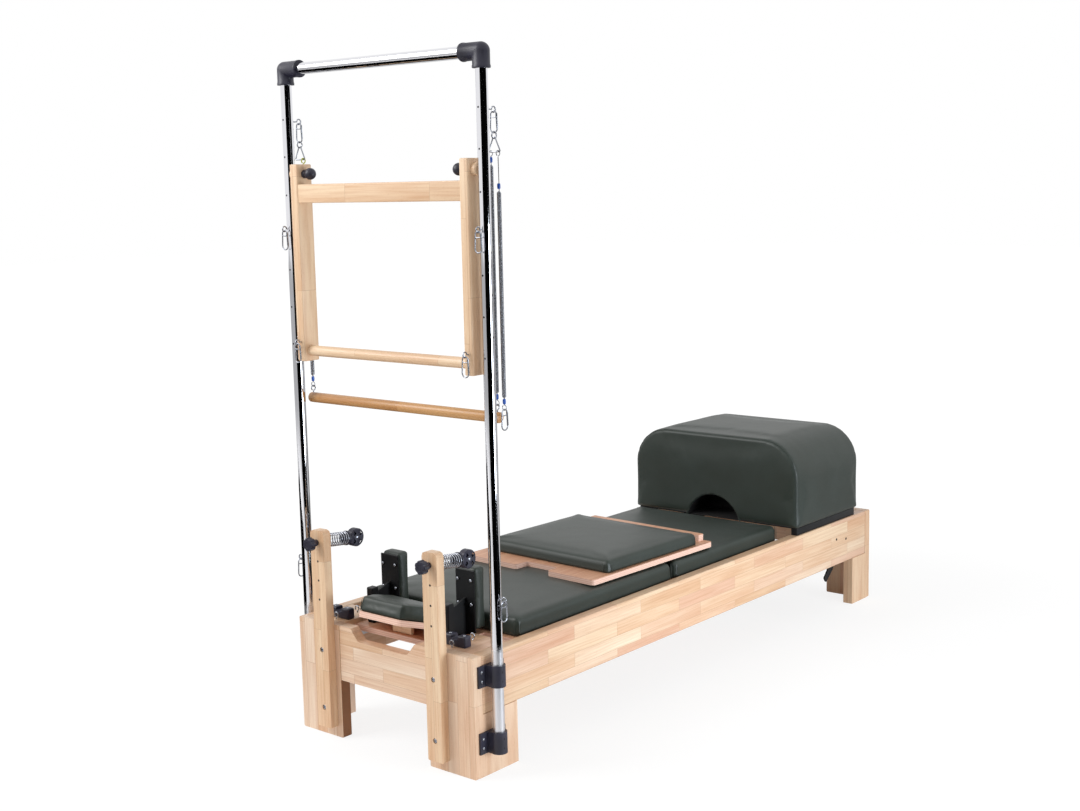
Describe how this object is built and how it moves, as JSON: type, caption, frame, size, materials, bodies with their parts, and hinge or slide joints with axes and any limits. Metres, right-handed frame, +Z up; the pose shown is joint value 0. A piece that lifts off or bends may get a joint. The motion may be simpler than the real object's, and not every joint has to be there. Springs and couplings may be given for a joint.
{
  "type": "pilates reformer with tower",
  "caption": "Wooden sliding-carriage exercise bench with a steel tube tower, spring-hung bars, padded carriage, filler mat, jump board and sitting box.",
  "frame": {"origin": "on the floor, at the middle of the footprint", "axes": "+Z up, +Y from the tower end to the foot end, +X across"},
  "size_m": [0.893, 2.47, 2.1005],
  "materials": {
    "beech": "clear-lacquered butcher block",
    "plywood": "clear-lacquered plywood",
    "chrome": "polished",
    "spring_steel": "zinc-plated",
    "aluminium": "extruded",
    "black_plastic": "moulded",
    "black_steel": "satin powder coat",
    "leatherette": "satin grained vinyl",
    "foam": "matt foam"
  },
  "bodies": {
    "frame": {"side_rail_left": "beech", "side_rail_right": "beech", "strap_shelf_left": "beech", "strap_shelf_right": "beech", "wheel_track_left": "aluminium", "wheel_track_right": "aluminium", "head_frame": "beech", "foot_frame": "beech", "riser_left": "beech", "riser_right": "beech", "tower_tube_left": "chrome", "tower_tube_right": "chrome", "tower_crossbar": "chrome", "tower_elbow_left": "black_plastic", "tower_elbow_right": "black_plastic", "lower_clamp_left": "black_plastic", "lower_clamp_right": "black_plastic", "upper_clamp_left": "black_plastic", "upper_clamp_right": "black_plastic", "footbar_and_spring_bar_bracket": "black_steel"},
    "left_riser_knob": {"riser_knob_left": "black_plastic"},
    "right_riser_knob": {"riser_knob_right": "black_plastic"},
    "left_pulley_block": {"pulley_block_left": "black_plastic", "riser_spring_left": "spring_steel"},
    "right_pulley_block": {"pulley_block_right": "black_plastic", "riser_spring_right": "spring_steel"},
    "left_pulley_wheel": {"pulley_wheel_left": "black_plastic"},
    "right_pulley_wheel": {"pulley_wheel_right": "black_plastic"},
    "left_front_hook": {"front_hook_left": "spring_steel"},
    "right_front_hook": {"front_hook_right": "spring_steel"},
    "left_side_hook": {"side_hook_left": "spring_steel"},
    "right_side_hook": {"side_hook_right": "spring_steel"},
    "push_through_bar": {"push_bar": "beech"},
    "left_push_hook": {"push_hook_left": "spring_steel"},
    "right_push_hook": {"push_hook_right": "spring_steel"},
    "roll_down_springs": {"spring_hanger_left": "spring_steel", "spring_hanger_right": "spring_steel", "roll_down_spring_left": "spring_steel", "roll_down_spring_right": "spring_steel"},
    "roll_down_bar": {"roll_down_bar": "beech"},
    "drop_spring": {"drop_spring": "spring_steel"},
    "carriage": {"carriage_base": "plywood", "carriage_pad": "leatherette", "spring_rack": "spring_steel", "shoulder_bracket_left": "black_steel", "shoulder_bracket_right": "black_steel", "shoulder_pad_left": "leatherette", "shoulder_pad_right": "leatherette"},
    "head_wheelset": {"wheelset_head": "black_plastic"},
    "foot_wheelset": {"wheelset_foot": "black_plastic"},
    "headrest": {"headrest_board": "plywood", "headrest_pad": "leatherette"},
    "headrest_prop": {"headrest_prop": "beech"},
    "footbar": {"footbar": "black_steel", "footbar_grip": "foam"},
    "filler_mat": {"filler_board": "plywood", "filler_pad": "leatherette"},
    "jump_board": {"jump_board": "plywood", "jump_board_pad": "leatherette"},
    "sitting_box": {"sitting_box": "leatherette"}
  },
  "joints": [
    {"name": "left_knob_turn", "type": "hinge", "parent": "frame", "child": "left_riser_knob", "pos_m": [-0.241, -1.165, 0.63], "axis": [0, 1, 0], "continuous": true},
    {"name": "right_knob_turn", "type": "hinge", "parent": "frame", "child": "right_riser_knob", "pos_m": [0.241, -1.165, 0.63], "axis": [0, 1, 0], "continuous": true},
    {"name": "left_pulley_swivel", "type": "hinge", "parent": "frame", "child": "left_pulley_block", "pos_m": [-0.241, -1.165, 0.63], "axis": [0, 0.9945, -0.1045], "continuous": true},
    {"name": "right_pulley_swivel", "type": "hinge", "parent": "frame", "child": "right_pulley_block", "pos_m": [0.241, -1.165, 0.63], "axis": [0, 0.9945, -0.1045], "continuous": true},
    {"name": "left_pulley_spin", "type": "hinge", "parent": "left_pulley_block", "child": "left_pulley_wheel", "pos_m": [-0.241, -1.03671, 0.61652], "axis": [1, 0, 0], "continuous": true},
    {"name": "right_pulley_spin", "type": "hinge", "parent": "right_pulley_block", "child": "right_pulley_wheel", "pos_m": [0.241, -1.03671, 0.61652], "axis": [1, 0, 0], "continuous": true},
    {"name": "left_front_hook_swing", "type": "hinge", "parent": "frame", "child": "left_front_hook", "pos_m": [-0.405, -1.1265, 1.5863], "axis": [1, 0, 0], "range_deg": [-100, 0]},
    {"name": "right_front_hook_swing", "type": "hinge", "parent": "frame", "child": "right_front_hook", "pos_m": [0.405, -1.1265, 1.5863], "axis": [1, 0, 0], "range_deg": [-100, 0]},
    {"name": "left_side_hook_swing", "type": "hinge", "parent": "frame", "child": "left_side_hook", "pos_m": [-0.4365, -1.095, 0.5313], "axis": [0, 1, 0], "range_deg": [0, 100]},
    {"name": "right_side_hook_swing", "type": "hinge", "parent": "frame", "child": "right_side_hook", "pos_m": [0.4365, -1.095, 0.5313], "axis": [0, 1, 0], "range_deg": [-100, 0]},
    {"name": "push_through_swing", "type": "hinge", "parent": "frame", "child": "push_through_bar", "pos_m": [0, -1.095, 1.757], "axis": [1, 0, 0], "range_deg": [-120, 120]},
    {"name": "left_push_hook_swing", "type": "hinge", "parent": "push_through_bar", "child": "left_push_hook", "pos_m": [-0.354, -1.139, 1.2373], "axis": [1, 0, 0], "range_deg": [-100, 0]},
    {"name": "right_push_hook_swing", "type": "hinge", "parent": "push_through_bar", "child": "right_push_hook", "pos_m": [0.354, -1.139, 1.2373], "axis": [1, 0, 0], "range_deg": [-100, 0]},
    {"name": "roll_down_swing", "type": "hinge", "parent": "frame", "child": "roll_down_springs", "pos_m": [0, -1.05, 1.9143], "axis": [1, 0, 0], "range_deg": [0, 60]},
    {"name": "roll_down_pull", "type": "slide", "parent": "roll_down_springs", "child": "roll_down_bar", "axis": [0, 0, -1], "range_m": [0, 0.35], "stiffness_N_per_m": 200, "springref_m": -0.05, "deforming": ["roll_down_spring_left", "roll_down_spring_right"]},
    {"name": "drop_spring_swing", "type": "hinge", "parent": "roll_down_springs", "child": "drop_spring", "pos_m": [0.418, -1.05, 1.8021], "axis": [1, 0, 0], "range_deg": [0, 60]},
    {"name": "carriage_slide", "type": "slide", "parent": "frame", "child": "carriage", "axis": [0, 1, 0], "range_m": [-0.036, 0]},
    {"name": "head_wheelset_roll", "type": "hinge", "parent": "carriage", "child": "head_wheelset", "pos_m": [0, -0.835, 0.3073], "axis": [1, 0, 0], "range_deg": [0, 95]},
    {"name": "foot_wheelset_roll", "type": "hinge", "parent": "carriage", "child": "foot_wheelset", "pos_m": [0, -0.12, 0.3073], "axis": [1, 0, 0], "range_deg": [0, 95]},
    {"name": "headrest_tilt", "type": "hinge", "parent": "carriage", "child": "headrest", "pos_m": [0, -0.979, 0.3625], "axis": [-1, 0, 0], "range_deg": [0, 15]},
    {"name": "prop_fold", "type": "hinge", "parent": "carriage", "child": "headrest_prop", "pos_m": [0, -1.073, 0.3593], "axis": [1, 0, 0], "range_deg": [0, 80]},
    {"name": "footbar_fold", "type": "hinge", "parent": "frame", "child": "footbar", "pos_m": [0, 1, 0.29], "axis": [-1, 0, 0], "range_deg": [0, 13]},
    {"name": "filler_mat_lift", "type": "slide", "parent": "frame", "child": "filler_mat", "axis": [0, 0, 1], "range_m": [0, 0.2]},
    {"name": "jump_board_lift", "type": "slide", "parent": "filler_mat", "child": "jump_board", "axis": [0, 0, 1], "range_m": [0, 0.3]},
    {"name": "sitting_box_lift", "type": "slide", "parent": "frame", "child": "sitting_box", "axis": [0, 0, 1], "range_m": [0, 0.3]}
  ],
  "couplings": [
    {"joint": "head_wheelset_roll", "follows": "carriage_slide", "rad_per_m": -45.455},
    {"joint": "foot_wheelset_roll", "follows": "carriage_slide", "rad_per_m": -45.455}
  ]
}
